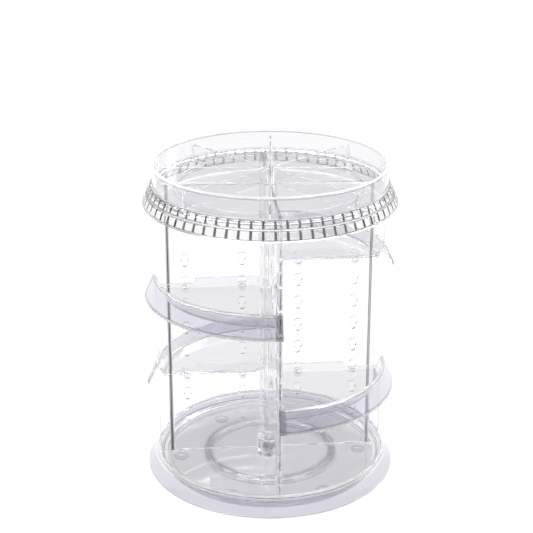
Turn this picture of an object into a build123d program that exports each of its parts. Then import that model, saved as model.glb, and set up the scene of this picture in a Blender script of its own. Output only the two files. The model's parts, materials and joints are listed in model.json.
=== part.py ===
from build123d import *
from math import cos, pi, sin
import os

# Rotating makeup organizer: a clear plastic tower that turns on a ball race.
# Origin: on the table, under the centre of the base. Z is up, the four panels
# lie along X and Y, and the front of the organizer faces -Y. Millimetres.

# Overall tower
PANEL_R = 113.0          # outer edge of the dividing panels
LIP_OUT = 12.0           # widest circle, at the foot of the floor tray's lip, outside the panels
RIM_Z = 320.0            # rim of the top tray
TOP_H = 24.4             # top tray's height over the panels
AIR = 0.05               # film of air left where two pieces touch
LIP_R = PANEL_R + LIP_OUT
PANEL_TOP = RIM_Z - TOP_H

# Floor tray that turns
FLOOR_Z = 10.0           # underside of its floor
FLOOR_T = 2.4
FLOOR_IN = 2.0           # floor meets the sloping wall inside the panels' edge, on the centre line
FLOOR_RIM_OUT = 3.0      # rim outside the panels' edge, on the centre line
FLOOR_RIM_H = 10.5
LIP_GAP = 0.5            # lip above the table
LIP_BOW = 1.0            # how far the lip bows inwards from a straight flare
FLOOR_TOP = FLOOR_Z + FLOOR_T

# Static base under it
FOOT_H = 2.0
FOOT_R = 7.0
FOOT_IN = 14.0           # foot's centre from the edge of the base
FOOT_COUNT = 6
PLUG_R = 3.0             # stem that plugs a foot into the base
FOOT_EDGE = 0.5
BASE_IN = 7.0            # edge of the base inside the panels' edge
BASE_T = 2.2
BASE_WALL = 2.4
BASE_GAP = 1.0           # base wall below the turning floor
BASE_TOP = FLOOR_Z - BASE_GAP
BASE_R = PANEL_R - BASE_IN
FOOT_PCR = BASE_R - FOOT_IN

# Ball race between them
RACE_R = 64.0            # circle of the ball centres
RACE_W = 8.0
RACE_T = 1.6
BALL_R = 2.0
BALL_COUNT = 14
BALL_PLAY = 0.05         # running clearance round a ball
CAGE_T = 1.2
CAGE_W = 7.0
RACE_LIP_H = 1.2         # rib that centres the lower race
RACE_LIP_T = 1.6
RACE_Z = FOOT_H + BASE_T
BALL_Z = (RACE_Z + FLOOR_Z) / 2

# Spindle
SPINDLE_R = 4.0
SPINDLE_PLAY = 0.05
BOSS_R = 13.0
HEAD_R = 7.0
HEAD_T = 2.2
HEAD_RECESS_R = 8.0
HEAD_PLAY = 0.2
DRIVE_R = 2.3            # hexagon socket in the bolt's head
THREAD_R = 3.0
THREAD_OUT = 2.1         # thread beyond the nut
THREAD_EDGE = 0.6
WASHER_R = 8.0
WASHER_T = 1.2
NUT_AF = 10.0
NUT_T = 4.8
WASHER_Z = FLOOR_TOP + AIR

# Centre post and its foot
POST_W = 13.0
POST_EDGE_R = 1.5
GROOVE_D = 3.0
POST_FOOT_R = 13.0
POST_FOOT_H = 12.6
POST_CUP_R = 9.4
POST_CUP_H = 9.6
POST_Z = FLOOR_TOP + POST_FOOT_H

# Dividing panels
PANEL_T = 2.8
BAND_T = 3.4             # thicker strip along the outer edge
BAND_W = 11.0
BEAD_R = 2.5             # round bead beside the strip, full height
BEAD_IN = 12.3           # bead's centre from the outer edge
POCKET_BEVEL_R = 4.0     # lower outer corner, along the tray's sloping wall
POCKET_BEVEL_Z = 8.4
TOP_BEVEL = 6.0
TAB_W = 16.0
TAB_AT = (42.0, 86.0)

# Keyholes
KEY_INNER_R = 28.0       # inner column
KEY_OUTER_IN = 29.0      # outer column from the outer edge
KEY_ROWS = 8
KEY_PITCH = 24.1
KEY_SEAT_Z = 216.3       # peg centre when a tray hangs in the top row
KEY_HEAD_R = 4.2
KEY_SLOT_R = 2.4
KEY_DROP = 6.6           # from the round part to the seat
KEY_AT = (KEY_INNER_R, PANEL_R - KEY_OUTER_IN)

# Quarter trays
TRAY_T = 2.0
TRAY_FLOOR_IN = 6.0      # floor meets the sloping wall inside the panels' edge, on the centre line
RIDGE_OUT = 0.9          # ridge outside the panels' edge, on the centre line
RIDGE_Z = 14.8
TRAY_LIP_OUT = 10.2      # foot of the lip outside the panels' edge, on the centre line
TRAY_LIP_Z = -6.0
SIDE_OFF = 3.4           # straight side from the middle of a panel
CORNER_R = 14.0
SIDE_T = 1.8
SIDE_H = 11.0
KERB_H = 5.4
KERB_FROM = 76.0
SHOULDER_R = 5.0
PEG_R = 2.35
PEG_PAD_R = 4.4          # pad that carries a peg at the edge of the floor
PEG_HEAD_R = 3.8
PEG_HEAD_T = 1.4
PEG_HEAD_GAP = 0.25
LIP_CLEAR = 0.4          # lip outside the panel's edge
TRAY_FLOOR_R = PANEL_R - TRAY_FLOOR_IN
RIDGE_R = PANEL_R + RIDGE_OUT
TRAY_LIP_R = PANEL_R + TRAY_LIP_OUT

# Top tray, facet ring and divider
TOP_OUT = 0.9            # top tray's wall outside the panels' edge
TOP_WALL = 2.2
RIM_EDGE_R = 1.0
TOP_FLOOR_T = 2.4
RIB_IN = 20.8            # locating rib under the tray, from the panels' edge
RIB_T = 2.4
RIB_H = 4.5
RIB_PLAY = 0.3
RING_TOP_OUT = 1.3       # top, middle and lower flange outside the top tray's wall
RING_MID_OUT = 5.5
RING_LOW_OUT = 9.5
RING_TOP_UP = 4.8        # top flange over the panels
RING_MID_DOWN = 4.5      # middle and lower flange below the panels' top
RING_LOW_DOWN = 14.7
RING_T = 3.0
RING_BAND = 1.1          # thickness of the three flanges
LEDGE_W = 3.4
LEDGE_T = 1.8
FACETS = 68
BEVEL = 1.3              # bevel round a facet's table, and its depth
BEVEL_D = 1.1
STAR_TURN = -5.0         # the top tray as it stands, turned against the panels
STAR_ARMS = 8
STAR_T = 2.4
STAR_H = 15.0
STAR_HUB_R = 5.0
STAR_PLAY = 0.3
GUIDE_T = 1.2
GUIDE_D = 1.6
GUIDE_PLAY = 0.2
TOP_R = PANEL_R + TOP_OUT
TOP_Z = PANEL_TOP + AIR
TOP_FLOOR_Z = TOP_Z + TOP_FLOOR_T
RIB_R = PANEL_R - RIB_IN
RING_TOP_Z = PANEL_TOP + RING_TOP_UP
RING_MID_Z = PANEL_TOP - RING_MID_DOWN
RING_LOW_Z = PANEL_TOP - RING_LOW_DOWN
RING_TOP_R = TOP_R + RING_TOP_OUT
RING_MID_R = TOP_R + RING_MID_OUT
RING_LOW_R = TOP_R + RING_LOW_OUT


def turned(face):
    """A face drawn in radius and height, revolved about the tower's axis."""
    return revolve(Plane.XZ * face, axis=Axis.Z)


def ring(r_in, r_out, z0, z1):
    """Flat ring between two radii and two heights."""
    width = r_out - r_in
    height = z1 - z0
    section = Pos(r_in + width / 2, z0 + height / 2) * Rectangle(width, height)
    return turned(section)


def disc(radius, z0, z1):
    return Pos(0, 0, z0) * extrude(Circle(radius), z1 - z0)


def around(count, radius, shape, start=0.0):
    """Copies of a shape drawn on +X, evenly spaced round the axis."""
    step = 360 / count
    return [Rot(0, 0, start + i * step) * Pos(radius, 0, 0) * shape for i in range(count)]


def turntable_base():
    body = ring(0, BASE_R, FOOT_H, FOOT_H + BASE_T)
    body += ring(BASE_R - BASE_WALL, BASE_R, FOOT_H, BASE_TOP)
    body += disc(BOSS_R, FOOT_H, BASE_TOP)
    race_in = RACE_R - RACE_W / 2
    race_out = RACE_R + RACE_W / 2
    body += ring(race_in - RACE_LIP_T, race_in, RACE_Z, RACE_Z + RACE_LIP_H)
    body += ring(race_out, race_out + RACE_LIP_T, RACE_Z, RACE_Z + RACE_LIP_H)
    body -= disc(SPINDLE_R + SPINDLE_PLAY, 0, FLOOR_Z)
    body -= disc(HEAD_RECESS_R, 0, FOOT_H + HEAD_PLAY + HEAD_T + HEAD_PLAY)
    sockets = around(FOOT_COUNT, FOOT_PCR, disc(PLUG_R, 0, FLOOR_Z))
    return body - sockets


def rubber_feet():
    foot = disc(FOOT_R, 0, FOOT_H - AIR) + disc(PLUG_R - AIR, 0, RACE_Z)
    edge = foot.edges().filter_by(GeomType.CIRCLE).group_by(Axis.Z)[0]
    foot = chamfer(edge, FOOT_EDGE)
    return Compound(around(FOOT_COUNT, FOOT_PCR, foot))


def race(z0, z1):
    half = RACE_W / 2 - AIR
    body = ring(RACE_R - half, RACE_R + half, z0, z1)
    groove = turned(Pos(RACE_R, BALL_Z) * Circle(BALL_R + BALL_PLAY))
    return body - groove


def lower_race():
    return race(RACE_Z + AIR, RACE_Z + RACE_T)


def upper_race():
    return race(FLOOR_Z - RACE_T, FLOOR_Z - AIR)


def ball_cage():
    body = ring(RACE_R - CAGE_W / 2, RACE_R + CAGE_W / 2, BALL_Z - CAGE_T / 2, BALL_Z + CAGE_T / 2)
    pocket = disc(BALL_R + BALL_PLAY, 0, FLOOR_Z)
    return body - around(BALL_COUNT, RACE_R, pocket)


def bearing_balls():
    ball = Pos(0, 0, BALL_Z) * Sphere(BALL_R)
    return Compound(around(BALL_COUNT, RACE_R, ball))


def spindle_bolt():
    head_z = FOOT_H + HEAD_PLAY
    head = disc(HEAD_R, head_z, head_z + HEAD_T)
    drive = Pos(0, 0, head_z) * extrude(RegularPolygon(DRIVE_R, 6), HEAD_T / 2)
    shoulder = FLOOR_Z - AIR
    shank = disc(SPINDLE_R, head_z + HEAD_T, shoulder)
    thread = disc(THREAD_R, shoulder, WASHER_Z + WASHER_T + NUT_T + THREAD_OUT)
    thread_end = thread.edges().filter_by(GeomType.CIRCLE).group_by(Axis.Z)[-1]
    thread = chamfer(thread_end, THREAD_EDGE)
    return head + shank + thread - drive


def spindle_washer():
    return ring(THREAD_R + AIR, WASHER_R, WASHER_Z, WASHER_Z + WASHER_T)


def spindle_nut():
    z0 = WASHER_Z + WASHER_T
    body = Pos(0, 0, z0) * extrude(RegularPolygon(NUT_AF / 2, 6, major_radius=False), NUT_T)
    return body - disc(THREAD_R + AIR, z0, z0 + NUT_T)


def floor_tray():
    half = FLOOR_T / 2
    mid = FLOOR_Z + half
    lip_top = Vector(PANEL_R + FLOOR_RIM_OUT, FLOOR_Z + FLOOR_RIM_H)
    lip_foot = Vector(LIP_R - half, LIP_GAP + half)
    bow = (lip_top + lip_foot) / 2 - Vector(LIP_BOW, LIP_BOW / 2)
    line = Polyline((-half, mid), (PANEL_R - FLOOR_IN, mid), lip_top) + ThreePointArc(lip_top, bow, lip_foot)
    section = offset(line, half, side=Side.BOTH, closed=True)
    section = make_face(section) & Pos(LIP_R / 2, LIP_R / 2) * Rectangle(LIP_R, LIP_R)
    body = turned(section)
    body -= disc(THREAD_R + AIR, 0, FLOOR_TOP)
    slot = Pos(0, 0, mid) * Box(TAB_W + 2 * AIR, PANEL_T + 2 * AIR, FLOOR_T)
    for at in TAB_AT:
        body -= around(4, at, slot)
    return body


def centre_post():
    foot = disc(POST_FOOT_R, FLOOR_TOP + AIR, POST_Z)
    foot -= disc(POST_CUP_R, FLOOR_TOP, FLOOR_TOP + POST_CUP_H)
    square = RectangleRounded(POST_W, POST_W, POST_EDGE_R)
    groove = Rectangle(GROOVE_D, PANEL_T + 2 * AIR)
    square -= around(4, POST_W / 2 - GROOVE_D / 2, groove)
    return foot + Pos(0, 0, POST_Z) * extrude(square, PANEL_TOP - POST_Z)


def keyhole():
    """Round head with a narrower slot below it, centred on the seated peg."""
    head = Pos(0, KEY_DROP) * Circle(KEY_HEAD_R)
    slot = Pos(0, KEY_DROP / 2) * Rectangle(2 * KEY_SLOT_R, KEY_DROP)
    return head + slot + Circle(KEY_SLOT_R)


def panel():
    """The panel on +X, drawn in radius and height."""
    inner = POST_W / 2 - GROOVE_D + AIR
    bottom = FLOOR_TOP + AIR
    foot_r = POST_FOOT_R + AIR
    foot_z = POST_Z + AIR
    outline = make_face(Polyline(
        (foot_r, bottom),
        (PANEL_R - POCKET_BEVEL_R, bottom),
        (PANEL_R, bottom + POCKET_BEVEL_Z),
        (PANEL_R, PANEL_TOP - TOP_BEVEL),
        (PANEL_R - TOP_BEVEL, PANEL_TOP),
        (inner, PANEL_TOP),
        (inner, foot_z),
        (foot_r, foot_z),
        close=True,
    ))
    for at in TAB_AT:
        outline += Pos(at, FLOOR_Z) * Rectangle(TAB_W, bottom - FLOOR_Z, align=(Align.CENTER, Align.MIN))
    notch_w = RIB_T + 2 * RIB_PLAY
    notch_h = RIB_H + RIB_PLAY
    outline -= Pos(RIB_R, PANEL_TOP - notch_h / 2) * Rectangle(notch_w, notch_h)
    band = outline & Pos(PANEL_R - BAND_W, 0) * Rectangle(LIP_R, RIM_Z, align=(Align.MIN, Align.MIN))
    for at in KEY_AT:
        for row in range(KEY_ROWS):
            outline -= Pos(at, KEY_SEAT_Z - row * KEY_PITCH) * keyhole()
    web = extrude(Plane.XZ * outline, PANEL_T / 2, both=True)
    edge = extrude(Plane.XZ * band, BAND_T / 2, both=True)
    outer = edge.edges().filter_by(Axis.Z).group_by(Axis.X)[-1]
    edge = fillet(outer, BAND_T / 4)
    bead = Pos(PANEL_R - BEAD_IN, 0, bottom) * extrude(Circle(BEAD_R), PANEL_TOP - bottom)
    return web + edge + bead


def panel_at(turn):
    return Rot(0, 0, turn) * panel()


def side_wall(inset):
    """Plan of the part of a tray between two panels, drawn in the +X +Y bay."""
    near = SIDE_OFF + inset
    radius = CORNER_R - inset
    plan = Pos(near, near) * Rectangle(LIP_R, LIP_R, align=(Align.MIN, Align.MIN))
    corner = plan.vertices().sort_by_distance((0, 0))[0]
    return fillet(corner, radius)


def tray():
    """The tray of the +X +Y bay, standing on z = 0 on its floor's underside."""
    half = TRAY_T / 2
    line = Polyline((-half, half), (TRAY_FLOOR_R, half), (RIDGE_R, RIDGE_Z), (TRAY_LIP_R, TRAY_LIP_Z))
    section = make_face(offset(line, half, side=Side.BOTH, closed=True))
    section &= Rectangle(LIP_R, LIP_R, align=(Align.MIN, Align.CENTER))
    shell = turned(section)
    far = -BAND_T / 2
    wrap = Pos(far, far) * Rectangle(LIP_R, LIP_R, align=(Align.MIN, Align.MIN))
    wrap -= Circle(PANEL_R + LIP_CLEAR)
    plan = side_wall(0) + wrap
    body = shell & Pos(0, 0, -LIP_R / 2) * extrude(plan, LIP_R)
    bowl = make_face(Polyline(
        (0, half), (TRAY_FLOOR_R, half), (RIDGE_R, RIDGE_Z), (0, RIDGE_Z), close=True))
    strip = side_wall(0) - side_wall(SIDE_T)
    kerb = extrude(strip, KERB_H) & turned(bowl)
    tall = Rectangle(KERB_FROM, KERB_FROM, align=(Align.MIN, Align.MIN)) & strip
    profile = Rectangle(KERB_FROM, SIDE_H, align=(Align.MIN, Align.MIN))
    profile = fillet(profile.vertices().sort_by_distance((KERB_FROM, SIDE_H))[0], SHOULDER_R)
    wall = extrude(tall, SIDE_H)
    wall &= extrude(Plane.XZ * profile, -KERB_FROM)
    wall &= extrude(Plane.YZ * profile, KERB_FROM)
    body = body + kerb + wall
    gap = SIDE_OFF + PANEL_T / 2 + PEG_HEAD_GAP
    pad = extrude(Circle(PEG_PAD_R), -SIDE_T)
    neck = extrude(Circle(PEG_R), gap)
    head = Pos(0, 0, gap) * extrude(Circle(PEG_HEAD_R), PEG_HEAD_T)
    peg = pad + neck + head
    for at in KEY_AT:
        body += Pos(at, SIDE_OFF, 0) * Rot(90, 0, 0) * peg
        body += Pos(SIDE_OFF, at, 0) * Rot(0, -90, 0) * peg
    return body


def tray_at(turn, row):
    """A tray hung in a row of keyholes, its pegs level with its floor's underside."""
    return Rot(0, 0, turn) * Pos(0, 0, KEY_SEAT_Z - row * KEY_PITCH) * tray()


def top_tray():
    body = ring(0, TOP_R, TOP_Z, TOP_FLOOR_Z)
    wall = ring(TOP_R - TOP_WALL, TOP_R, TOP_Z, RIM_Z)
    rim = wall.edges().filter_by(GeomType.CIRCLE).group_by(Axis.Z)[-1]
    body += fillet(rim, RIM_EDGE_R)
    body += ring(RIB_R - RIB_T / 2, RIB_R + RIB_T / 2, TOP_Z - RIB_H, TOP_Z)
    side = STAR_T / 2 + GUIDE_PLAY + GUIDE_T / 2
    guide = Box(GUIDE_D + TOP_WALL / 2, GUIDE_T, STAR_H, align=(Align.MAX, Align.CENTER, Align.MIN))
    guide = Pos(0, side, TOP_FLOOR_Z) * guide + Pos(0, -side, TOP_FLOOR_Z) * guide
    body += around(STAR_ARMS, TOP_R - TOP_WALL / 2, guide, STAR_TURN)
    return body


def facet_outline(z, table_sink):
    """Horizontal section of the faceted band: flat tables with a notch after each."""
    radius = ring_radius(z)
    pitch = 2 * pi / FACETS
    half_table = pitch / 2 - BEVEL / RING_MID_R
    points = []
    for i in range(FACETS):
        for turn, reach in (
            (-half_table, radius - table_sink),
            (half_table, radius - table_sink),
            (pitch / 2, radius - BEVEL_D),
        ):
            angle = i * pitch + turn
            points.append((reach * cos(angle), reach * sin(angle)))
    return Pos(0, 0, z) * make_face(Polyline(*points, close=True))


def facet_ring():
    """Two rows of square facets between three flanges, flaring out round the foot of the top tray's wall."""
    mid_top = RING_MID_Z + RING_BAND / 2
    mid_low = RING_MID_Z - RING_BAND / 2
    upper = (RING_TOP_Z - RING_BAND, mid_top)
    lower = (mid_low, RING_LOW_Z + RING_BAND)
    sections = []
    for top, bottom in (upper, lower):
        for z, table_sink in ((top, BEVEL_D), (top - BEVEL, 0), (bottom + BEVEL, 0), (bottom, BEVEL_D)):
            sections.append(facet_outline(z, table_sink))
    body = loft(sections, ruled=True)
    body += disc(RING_TOP_R, RING_TOP_Z - RING_BAND, RING_TOP_Z)
    body += disc(RING_MID_R, mid_low, mid_top)
    body += disc(RING_LOW_R, RING_LOW_Z, RING_LOW_Z + RING_BAND)
    bore = TOP_R + AIR
    body -= disc(bore, PANEL_TOP, RIM_Z)
    flare = Polyline(
        (0, PANEL_TOP),
        (bore, PANEL_TOP),
        (RING_LOW_R - RING_T, RING_LOW_Z),
        (0, RING_LOW_Z),
        close=True,
    )
    body -= turned(make_face(flare))
    return body + ring(TOP_R - LEDGE_W, TOP_R + RING_BAND, PANEL_TOP - LEDGE_T, PANEL_TOP)


def ring_radius(z):
    """Outer radius of the flaring ring at a height."""
    if z > RING_MID_Z:
        share = (RING_TOP_Z - z) / (RING_TOP_Z - RING_MID_Z)
        return RING_TOP_R + share * (RING_MID_R - RING_TOP_R)
    share = (RING_MID_Z - z) / (RING_MID_Z - RING_LOW_Z)
    return RING_MID_R + share * (RING_LOW_R - RING_MID_R)


def star_divider():
    length = 2 * (TOP_R - TOP_WALL - STAR_PLAY)
    z0 = TOP_FLOOR_Z + AIR
    arm = Pos(0, 0, z0) * Box(length, STAR_T, STAR_H, align=(Align.CENTER, Align.CENTER, Align.MIN))
    body = disc(STAR_HUB_R, z0, z0 + STAR_H)
    for i in range(STAR_ARMS // 2):
        body += Rot(0, 0, STAR_TURN + i * 360 / STAR_ARMS) * arm
    return body


PARTS = {
    "turntable_base": turntable_base(),
    "rubber_feet": rubber_feet(),
    "lower_race": lower_race(),
    "upper_race": upper_race(),
    "ball_cage": ball_cage(),
    "bearing_balls": bearing_balls(),
    "spindle_bolt": spindle_bolt(),
    "spindle_washer": spindle_washer(),
    "spindle_nut": spindle_nut(),
    "floor_tray": floor_tray(),
    "centre_post": centre_post(),
    "panel_right": panel_at(0),
    "panel_back": panel_at(90),
    "panel_left": panel_at(180),
    "panel_front": panel_at(270),
    "tray_back_right": tray_at(0, 0),
    "tray_back_left": tray_at(90, 5),
    "tray_front_left": tray_at(180, 1),
    "tray_front_right": tray_at(270, 5),
    "top_tray": top_tray(),
    "facet_ring": facet_ring(),
    "star_divider": star_divider(),
}

os.makedirs("parts", exist_ok=True)
for name, shape in PARTS.items():
    export_step(shape, f"parts/{name}.step")
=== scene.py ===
import bpy
import json
import math
from collections import namedtuple
from mathutils import Matrix, Vector


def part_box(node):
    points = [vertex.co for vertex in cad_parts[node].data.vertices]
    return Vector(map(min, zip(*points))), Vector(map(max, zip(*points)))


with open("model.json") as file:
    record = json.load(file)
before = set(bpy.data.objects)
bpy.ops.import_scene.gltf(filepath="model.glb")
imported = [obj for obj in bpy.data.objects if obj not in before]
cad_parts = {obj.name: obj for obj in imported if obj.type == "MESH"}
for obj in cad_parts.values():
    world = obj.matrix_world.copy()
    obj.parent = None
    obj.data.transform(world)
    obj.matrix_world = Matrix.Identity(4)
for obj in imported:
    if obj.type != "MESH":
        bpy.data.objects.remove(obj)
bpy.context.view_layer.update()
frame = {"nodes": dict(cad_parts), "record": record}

# Rotating makeup organizer of clear moulded plastic: its materials, floor, lamps
# and camera. Metres, Z up along the tower's axis, and the front faces -Y.
# A span is a pair of values that a mask or a grain runs between.
# A rim is a level circle round the axis: its radius, height and half thickness.
MM = 0.001

# Places on the tower, from the boxes of its pieces
PANEL_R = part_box("panel_right")[1][0]
PANEL_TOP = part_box("panel_right")[1][2]
TOP_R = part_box("top_tray")[1][0]
RIM_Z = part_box("top_tray")[1][2]
SKIRT_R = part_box("floor_tray")[1][0]
BASE_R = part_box("turntable_base")[1][0]
BASE_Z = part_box("turntable_base")[0][2]
RING_LOW_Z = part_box("facet_ring")[0][2]
RING_TOP_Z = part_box("facet_ring")[1][2]

# Lips and skirt: darker outside the panels, a plastic tint with painted shade of the shadowed table seen
# through them, and the skirt only below its top
LIP_SPAN = (PANEL_R + 1.2 * MM, PANEL_R + 2.2 * MM)
LIP_END_SPAN = (4.0 * MM, 5.8 * MM)  # from the middle of a panel
SKIRT_TOP_SPAN = (14.0 * MM, 15.6 * MM)
SKIRT_FOOT = (SKIRT_R - 0.4 * MM, 1.0 * MM, 1.1 * MM)

# Rims: frosted, their colour painted white as a painted highlight, with a thin grey line of painted
# shade on either side
RIM_CORE = 0.8           # part of the half thickness that is all white
RIM_FADE = 1.1           # and where the white ends
RIM_SHADE_WIDTH = 0.9 * MM
BASE_RIMS = (
    (BASE_R - 0.8 * MM, BASE_Z + 1.0 * MM, 2.4 * MM),  # lower edge
)
FLOOR_RIMS = (
    (PANEL_R + 3.0 * MM, 20.5 * MM, 2.0 * MM),         # ridge
    (PANEL_R - 2.0 * MM, 11.2 * MM, 1.5 * MM),         # foot of the sloping wall
)
TOP_RIMS = (
    (TOP_R - 1.1 * MM, RIM_Z - 0.4 * MM, 2.0 * MM),    # upper edge of the wall
)
TRAY_RIMS = (                                          # heights from the tray's foot
    (PANEL_R + 0.9 * MM, 21.8 * MM, 1.8 * MM),         # ridge
    (PANEL_R - 6.0 * MM, 8.0 * MM, 1.3 * MM),          # foot of the sloping wall
    (PANEL_R + 10.2 * MM, 1.0 * MM, 1.6 * MM),         # foot of the lip
)

# Moulded edges, found from how far the rounded normal leaves the flat one; frosted, and their colour
# painted white as a painted highlight
EDGE_R = 0.6 * MM
EDGE_SAMPLES = 4
EDGE_SPAN = (0.80, 0.98)  # cosine of the angle between the two
EDGE_HAZE = 0.95

# Facet ring: painted shade in the notches between the facets, and in the grooves along the three flanges
FACETS = 68
NOTCH_SPAN = (0.09, 0.15)  # in facets, from the middle of a notch
FLANGE_HALF = 0.55 * MM
MIDDLE_DOWN = 4.5 * MM     # middle flange below the top of the panels
FLANGES = (RING_TOP_Z - FLANGE_HALF, PANEL_TOP - MIDDLE_DOWN, RING_LOW_Z + FLANGE_HALF)
FLANGE_SPAN = (0.5 * MM, 0.7 * MM)
GROOVE_SPAN = (1.1 * MM, 1.6 * MM)
RING_FLARE = 6.5 / 14.7    # how far its bore flares out for its drop
RING_SKIN_SPAN = (0.6 * MM, 0.8 * MM)

# Panels: a painted shade line down the bead, and the part of the panel whose keyhole walls get painted
# shade
BEAD_AT = PANEL_R - 12.3 * MM
BEAD_SPAN = (0.2 * MM, 0.6 * MM)
KEY_REACH = (18.0 * MM, 95.0 * MM)
KEY_HEIGHT = (38.0 * MM, 232.0 * MM)
KEY_WALL_SPAN = (0.3, 0.7)
KEY_FADE = 1.0 * MM

# How dark the painted shade lines are, from 0 for none to 1 for black
RIM_SHADE = 0.45
FOOT_SHADE = 0.55
LIP_END_SHADE = 0.42
NOTCH_SHADE = 0.97
GROOVE_SHADE = 0.88
BEAD_SHADE = 0.95
KEY_SHADE = 0.6

# Plastics: colour, haze and the slow waves of a moulded surface
WHITE = (1.0, 1.0, 1.0)
CLEAR = (0.965, 0.963, 0.972)
# Colours darker than CLEAR: part plastic tint, part painted shade of the shadowed table seen through
# floors, lips, skirt and base
TINTED_AND_SHADED = (0.93, 0.925, 0.945)
BASE_TINT_AND_SHADE = (0.82, 0.81, 0.84)
TRAY_LIP_TINT_AND_SHADE = (0.77, 0.755, 0.82)
SKIRT_TINT_AND_SHADE = (0.74, 0.725, 0.80)
MILKY = (0.92, 0.92, 0.935)
Finish = namedtuple("Finish", "haze wave wave_scale")
PANE = Finish(0.02, 0.15, 22.0)
MOULDED = Finish(0.02, 0.12, 22.0)
CUT = Finish(0.02, 0.1, 22.0)
SATIN = Finish(0.06, 0.2, 30.0)
NATURAL = Finish(0.06, 0.3, 60.0)
RUBBER = Finish(0.15, 0.3, 60.0)
STYRENE_IOR = 1.49
WAVE_HEIGHT = 1.0 * MM
CLOUD_SCALE = 14.0
CLOUD_SPAN = (0.97, 1.02)
HAZE_SCALE = 900.0
HAZE_SPAN = (0.5, 1.5)
FINE_DETAIL = 3.0

# Steels: colour and roughness, with patches of a darker and glossier tone
POLISHED_COLOUR = (0.75, 0.75, 0.77)
POLISHED_ROUGH = 0.12
PLATED_COLOUR = (0.68, 0.68, 0.70)
PLATED_ROUGH = 0.3
PATCH_SCALE = 300.0
PATCH_DETAIL = 4.0
PATCH_SPAN = (0.3, 0.7)
PATCH_DARK = 0.88
PATCH_ROUGH = (0.7, 1.4)

# Camera: on the front side, a little to the left of the front panel
CAM_AZIMUTH = math.radians(265.0)
CAM_REACH = 1.2701       # from the tower's axis, level
CAM_HEIGHT = 0.7017
CAM_PITCH = math.radians(21.12)
CAM_YAW = math.radians(0.16)
CAM_FOCAL_PX = 1380.9
CAM_CLIP = (0.05, 30.0)
FRAME_PX = 533
SENSOR_MM = 36.0

# Studio that the plastic mirrors and bends, by height: 0 straight down, 1 straight up
SOFT_GREY = (0.44, 0.44, 0.46)
DARK_GREY = (0.12, 0.12, 0.14)
STUDIO = (
    (0.0, WHITE),
    (0.56, WHITE),
    (0.60, SOFT_GREY),
    (0.74, SOFT_GREY),
    (0.79, DARK_GREY),
    (0.88, DARK_GREY),
    (0.92, WHITE),
)

# Floor: a wide white disc just under the feet
FLOOR_R = 6.0
FLOOR_SIDES = 96
FLOOR_DROP = 0.1 * MM
FLOOR_COLOUR = (0.95, 0.95, 0.95)
FLOOR_GLOW = 0.95

# Lamps: name, place, aim, width and height, watts
LAMPS = (
    ("key", (-0.9, -0.9, 1.5), (0.0, 0.0, 0.15), (1.6, 0.6), 40.0),
    ("back", (0.3, 0.9, 1.4), (0.0, 0.0, 0.2), (1.4, 0.6), 34.0),
    ("rim", (1.1, 0.6, 1.1), (0.0, 0.0, 0.2), (0.5, 0.9), 8.0),
)
BOUNCES = 200            # enough for light to cross every wall of the tower
CLEAR_BOUNCES = 16


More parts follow.
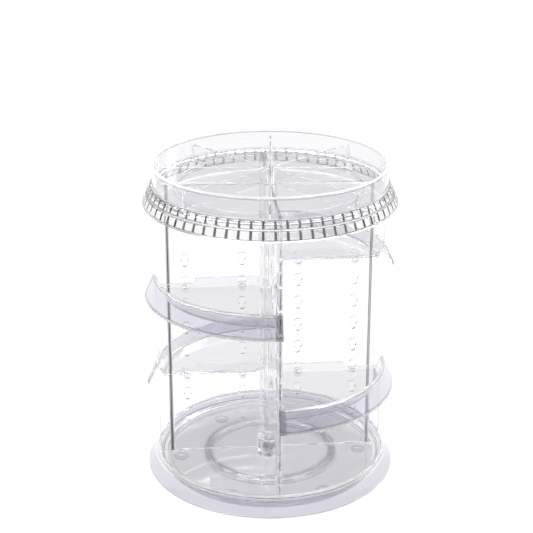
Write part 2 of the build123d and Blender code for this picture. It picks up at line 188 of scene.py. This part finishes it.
class Shader:
    """A node tree with short calls for making and joining nodes."""

    def __init__(self, owner):
        owner.use_nodes = True
        self.tree = owner.node_tree
        self.tree.nodes.clear()

    def put(self, node, key, value):
        """Links a socket of a node, or sets it."""
        socket = node.inputs[key]
        if isinstance(value, bpy.types.NodeSocket):
            self.tree.links.new(value, socket)
        elif socket.type == "RGBA":
            socket.default_value = (*value, 1.0)
        else:
            socket.default_value = value

    def node(self, kind, **sockets):
        node = self.tree.nodes.new(f"ShaderNode{kind}")
        for key, value in sockets.items():
            self.put(node, key.replace("_", " "), value)
        return node

    def mix(self, share, first, second):
        """The first shader where the share is 0, the second where it is 1."""
        node = self.node("MixShader")
        for key, value in enumerate((share, first, second)):
            self.put(node, key, value)
        return node.outputs[0]

    def maths(self, operation, *values):
        node = self.node("Math")
        node.operation = operation
        for key, value in enumerate(values):
            self.put(node, key, value)
        return node.outputs[0]

    def add(self, a, b):
        return self.maths("ADD", a, b)

    def less(self, a, b):
        return self.maths("SUBTRACT", a, b)

    def times(self, a, b):
        return self.maths("MULTIPLY", a, b)

    def larger(self, a, b):
        return self.maths("MAXIMUM", a, b)

    def size(self, a):
        return self.maths("ABSOLUTE", a)

    def rest(self, a):
        return self.less(1.0, a)

    def remap(self, value, source, target):
        """Carries one span over to another, and holds what is past its ends."""
        node = self.node("MapRange", Value=value)
        self.put(node, "From Min", source[0])
        self.put(node, "From Max", source[1])
        self.put(node, "To Min", target[0])
        self.put(node, "To Max", target[1])
        return node.outputs["Result"]

    def mask(self, value, span):
        """0 where the value is below the span, 1 above it."""
        return self.remap(value, span, (0.0, 1.0))

    def spread(self, share, span):
        return self.remap(share, (0.0, 1.0), span)

    def ramp(self, share, stops):
        node = self.node("ValToRGB")
        elements = node.color_ramp.elements
        while len(elements) < len(stops):
            elements.new(0.5)
        for element, (position, colour) in zip(elements, stops):
            element.position = position
            element.color = (*colour, 1.0)
        self.put(node, 0, share)
        return node.outputs[0]

    def noise(self, place, scale, detail=2.0):
        return self.node("TexNoise", Vector=place, Scale=scale, Detail=detail).outputs["Fac"]

    def blend(self, share, low, high):
        """One colour where the share is 0, another where it is 1."""
        node = self.node("Mix")
        node.data_type = "RGBA"
        for key, value in ((0, share), (6, low), (7, high)):
            self.put(node, key, value)
        return node.outputs[2]

    def tinted(self, colour, share):
        node = self.node("VectorMath")
        node.operation = "SCALE"
        self.put(node, 0, colour)
        self.put(node, "Scale", share)
        return node.outputs[0]

    def split(self, vector):
        """The three parts of a vector."""
        return self.node("SeparateXYZ", Vector=vector).outputs

    def reach(self, place):
        """Distance from the tower's axis."""
        x, y, _ = self.split(place)
        return self.maths("SQRT", self.add(self.times(x, x), self.times(y, y)))

    def edges(self, rounded):
        """1 on the moulded edges, where the rounded normal leaves the flat one."""
        node = self.node("VectorMath")
        node.operation = "DOT_PRODUCT"
        self.put(node, 0, rounded)
        self.put(node, 1, self.node("NewGeometry").outputs["Normal"])
        return self.rest(self.mask(node.outputs["Value"], EDGE_SPAN))

    def rim(self, place, radius, height, thick):
        """1 within a thickness of a level circle round the tower's axis."""
        across = self.less(self.reach(place), radius)
        up = self.less(self.split(place)[2], height)
        away = self.maths("SQRT", self.add(self.times(across, across), self.times(up, up)))
        return self.rest(self.mask(away, (RIM_CORE * thick, RIM_FADE * thick)))


def clear_plastic(name, finish, inner, lip=None, lip_top=None, painted_shade_lines=None, rims=(), rim_shade=RIM_SHADE):
    """Clear plastic with frosted edges and rims, whose colour is painted white as a painted highlight.

    Outside the panels it may have a lip with a darker colour of its own, a tint with painted shade, up
    to the heights in lip_top.
    A function passed in gives the painted shade: dark lines that stand in for shade seen in the piece.
    """
    mat = bpy.data.materials.new(name)
    s = Shader(mat)
    place = s.node("TexCoord").outputs["Object"]

    colour = inner
    if lip:
        outward = s.mask(s.reach(place), LIP_SPAN)
        if lip_top:
            outward = s.times(outward, s.rest(s.mask(s.split(place)[2], lip_top)))
        colour = s.blend(outward, inner, lip)
    cloud = s.spread(s.noise(place, CLOUD_SCALE, FINE_DETAIL), CLOUD_SPAN)

    rounded = s.node("Bevel", Radius=EDGE_R)
    rounded.samples = EDGE_SAMPLES
    edge = s.edges(rounded.outputs[0])
    beside = 0.0
    # beside is the wider band round each rim, for its thin line of painted shade
    for radius, height, thick in rims:
        edge = s.larger(edge, s.rim(place, radius, height, thick))
        beside = s.larger(beside, s.rim(place, radius, height, thick + RIM_SHADE_WIDTH))
    # Painted highlight: edges and rims take a white colour in place of the tint and its painted shade
    tint_and_painted_light = s.blend(edge, s.tinted(colour, cloud), WHITE)
    # Painted shade: a thin grey line just beside each rim darkens the colour
    if rims and rim_shade:
        tint_and_painted_light = s.tinted(tint_and_painted_light, s.rest(s.times(s.times(beside, s.rest(edge)), rim_shade)))
    # Painted shade: the piece's dark lines darken its colour
    if painted_shade_lines:
        tint_and_painted_light = s.tinted(tint_and_painted_light, s.rest(painted_shade_lines(s, place)))

    grain = s.noise(place, HAZE_SCALE, FINE_DETAIL)
    haze = s.spread(grain, tuple(finish.haze * share for share in HAZE_SPAN))
    waves = s.node("Bump", Strength=finish.wave, Distance=WAVE_HEIGHT, Normal=rounded.outputs[0])
    s.put(waves, "Height", s.noise(place, finish.wave_scale))

    surface = s.node("BsdfPrincipled", Base_Color=tint_and_painted_light, IOR=STYRENE_IOR, Transmission_Weight=1.0)
    s.put(surface, "Roughness", s.add(haze, s.times(edge, EDGE_HAZE)))
    s.put(surface, "Normal", waves.outputs["Normal"])
    s.node("OutputMaterial", Surface=surface.outputs[0])
    return mat


def facet_painted_shade(s, place):
    """Painted shade of the facet ring: dark lines in the notches between the facets, and in the grooves
    along the flanges.
    """
    x, y, z = s.split(place)
    turn = s.times(s.maths("ARCTAN2", y, x), FACETS / (2 * math.pi))
    off = s.size(s.less(s.maths("FRACT", turn), 0.5))
    dark = s.rest(s.mask(off, NOTCH_SPAN))
    drop = s.larger(s.less(PANEL_TOP, z), 0.0)
    bore = s.add(TOP_R, s.times(drop, RING_FLARE))
    outside = s.mask(s.less(s.reach(place), bore), RING_SKIN_SPAN)
    for height in FLANGES:
        away = s.size(s.less(z, height))
        groove = s.rest(s.mask(away, GROOVE_SPAN))
        dark = s.larger(dark, s.times(groove, GROOVE_SHADE))
        outside = s.times(outside, s.mask(away, FLANGE_SPAN))
    return s.times(s.times(dark, outside), NOTCH_SHADE)


def skirt_foot_shade(s, place):
    """Painted shade of the floor tray: a thin dark line along the foot of its skirt."""
    return s.times(s.rim(place, *SKIRT_FOOT), FOOT_SHADE)


def lip_end_shade(s, place):
    """Painted shade of a quarter tray: both ends of its lip darkened, where the plastic is seen along
    its length.
    """
    x, y, _ = s.split(place)
    beside = s.maths("MINIMUM", s.size(x), s.size(y))
    end = s.rest(s.mask(beside, LIP_END_SPAN))
    outside = s.mask(s.reach(place), LIP_SPAN)
    return s.times(s.times(end, outside), LIP_END_SHADE)


def panel_painted_shade(s, place):
    """Painted shade of the panels: a dark line down each bead, and dark walls of the keyholes."""
    reach = s.reach(place)
    line = s.rest(s.mask(s.size(s.less(reach, BEAD_AT)), BEAD_SPAN))

    # A keyhole's wall faces along its panel, and the panel's sides face across it
    x, y, z = s.split(place)
    face_x, face_y, _ = s.split(s.node("TexCoord").outputs["Normal"])
    across = s.maths("DIVIDE", s.less(s.times(x, face_y), s.times(y, face_x)), reach)
    wall = s.rest(s.mask(s.size(across), KEY_WALL_SPAN))
    for value, (low, high) in ((reach, KEY_REACH), (z, KEY_HEIGHT)):
        wall = s.times(wall, s.mask(value, (low, low + KEY_FADE)))
        wall = s.times(wall, s.rest(s.mask(value, (high - KEY_FADE, high))))
    return s.larger(s.times(line, BEAD_SHADE), s.times(wall, KEY_SHADE))


def metal(name, colour, rough):
    mat = bpy.data.materials.new(name)
    s = Shader(mat)
    patch = s.noise(s.node("TexCoord").outputs["Object"], PATCH_SCALE, PATCH_DETAIL)
    dark = tuple(channel * PATCH_DARK for channel in colour)
    surface = s.node("BsdfPrincipled", Metallic=1.0)
    s.put(surface, "Base Color", s.ramp(patch, tuple(zip(PATCH_SPAN, (dark, colour)))))
    s.put(surface, "Roughness", s.spread(patch, tuple(rough * share for share in PATCH_ROUGH)))
    s.node("OutputMaterial", Surface=surface.outputs[0])
    return mat


def tray_plastic(bay):
    """The plastic of a quarter tray, whose rims hang with it on its row of keyholes."""
    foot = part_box(f"tray_{bay}")[0][2]
    rims = tuple((radius, foot + up, thick) for radius, up, thick in TRAY_RIMS)
    return clear_plastic(f"{bay}_plastic", MOULDED, TINTED_AND_SHADED, TRAY_LIP_TINT_AND_SHADE, painted_shade_lines=lip_end_shade, rims=rims)


def dress_nodes():
    """Every node gets its own material, or else that of its slot."""
    by_slot = {
        "clear_plastic": clear_plastic("clear_plastic", PANE, CLEAR),
        "base_plastic": clear_plastic("base_plastic", SATIN, BASE_TINT_AND_SHADE, rims=BASE_RIMS, rim_shade=0.0),
        "race_plastic": clear_plastic("race_plastic", NATURAL, MILKY),
        "ball_steel": metal("ball_steel", POLISHED_COLOUR, POLISHED_ROUGH),
        "bolt_steel": metal("bolt_steel", PLATED_COLOUR, PLATED_ROUGH),
        "foot_rubber": clear_plastic("foot_rubber", RUBBER, MILKY),
    }
    by_node = {
        "facet_ring": clear_plastic("ring_plastic", CUT, CLEAR, painted_shade_lines=facet_painted_shade),
        "floor_tray": clear_plastic(
            "floor_plastic", MOULDED, TINTED_AND_SHADED, SKIRT_TINT_AND_SHADE, SKIRT_TOP_SPAN, skirt_foot_shade, FLOOR_RIMS,
        ),
        "top_tray": clear_plastic("top_plastic", MOULDED, TINTED_AND_SHADED, rims=TOP_RIMS),
    }
    panelled = clear_plastic("panel_plastic", PANE, CLEAR, painted_shade_lines=panel_painted_shade)
    for side in ("front", "right", "back", "left"):
        by_node[f"panel_{side}"] = panelled
    for bay in ("front_left", "front_right", "back_left", "back_right"):
        by_node[f"tray_{bay}"] = tray_plastic(bay)
    for part in frame["record"]["subparts"]:
        material = by_node.get(part["node"], by_slot[part["material_slot"]])
        for slot in frame["nodes"][part["node"]].material_slots:
            slot.material = material


def add_object(name, data):
    obj = bpy.data.objects.new(name, data)
    bpy.context.scene.collection.objects.link(obj)
    return obj


def make_camera():
    data = bpy.data.cameras.new("camera")
    data.sensor_width = SENSOR_MM
    data.lens = CAM_FOCAL_PX * SENSOR_MM / FRAME_PX
    data.clip_start, data.clip_end = CAM_CLIP
    cam = add_object("camera", data)
    out = Vector((math.cos(CAM_AZIMUTH), math.sin(CAM_AZIMUTH), 0))
    level = Matrix.Rotation(CAM_YAW, 3, "Z") @ -out
    look = level * math.cos(CAM_PITCH) - Vector((0, 0, math.sin(CAM_PITCH)))
    cam.location = out * CAM_REACH + Vector((0, 0, CAM_HEIGHT))
    cam.rotation_euler = look.to_track_quat("-Z", "Y").to_euler()
    bpy.context.scene.camera = cam


def make_world():
    """White for the camera and for matt surfaces, and the grey studio for what mirrors or bends."""
    world = bpy.data.worlds.new("studio")
    bpy.context.scene.world = world
    s = Shader(world)
    path = s.node("LightPath").outputs
    up = s.split(s.node("TexCoord").outputs["Generated"])[2]
    room = s.ramp(s.mask(up, (-1.0, 1.0)), STUDIO)
    white = s.node("Background", Color=WHITE, Strength=1.0)
    studio = s.node("Background", Color=room, Strength=1.0)
    bent = s.larger(path["Is Glossy Ray"], path["Is Transmission Ray"])
    s.node("OutputWorld", Surface=s.mix(bent, white.outputs[0], studio.outputs[0]))


def make_floor():
    """White where it is seen, straight or through the plastic, with the organizer's faint shadow."""
    mesh = bpy.data.meshes.new("floor")
    turns = [2 * math.pi * i / FLOOR_SIDES for i in range(FLOOR_SIDES)]
    edge = [(FLOOR_R * math.cos(turn), FLOOR_R * math.sin(turn), 0) for turn in turns]
    mesh.from_pydata(edge, [], [list(range(FLOOR_SIDES))])
    floor = add_object("floor", mesh)
    floor.location.z = -FLOOR_DROP
    mat = bpy.data.materials.new("floor")
    s = Shader(mat)
    path = s.node("LightPath").outputs
    shown = s.larger(path["Is Camera Ray"], s.larger(path["Is Glossy Ray"], path["Is Transmission Ray"]))
    matt = s.node("BsdfDiffuse", Color=FLOOR_COLOUR)
    glow = s.node("Emission", Color=WHITE, Strength=1.0)
    s.node("OutputMaterial", Surface=s.mix(s.times(shown, FLOOR_GLOW), matt.outputs[0], glow.outputs[0]))
    mat.cycles.emission_sampling = "NONE"
    mesh.materials.append(mat)


def softbox(name, place, aim, size, power):
    data = bpy.data.lights.new(name, "AREA")
    data.shape = "RECTANGLE"
    data.size, data.size_y = size
    data.energy = power
    light = add_object(name, data)
    light.location = place
    light.rotation_euler = (Vector(aim) - Vector(place)).to_track_quat("-Z", "Y").to_euler()
    light.visible_camera = False


dress_nodes()
make_camera()
make_world()
make_floor()
for lamp in LAMPS:
    softbox(*lamp)

scene = bpy.context.scene
scene.view_settings.view_transform = "Standard"
scene.cycles.max_bounces = BOUNCES
scene.cycles.transmission_bounces = BOUNCES
scene.cycles.glossy_bounces = BOUNCES
scene.cycles.transparent_max_bounces = CLEAR_BOUNCES
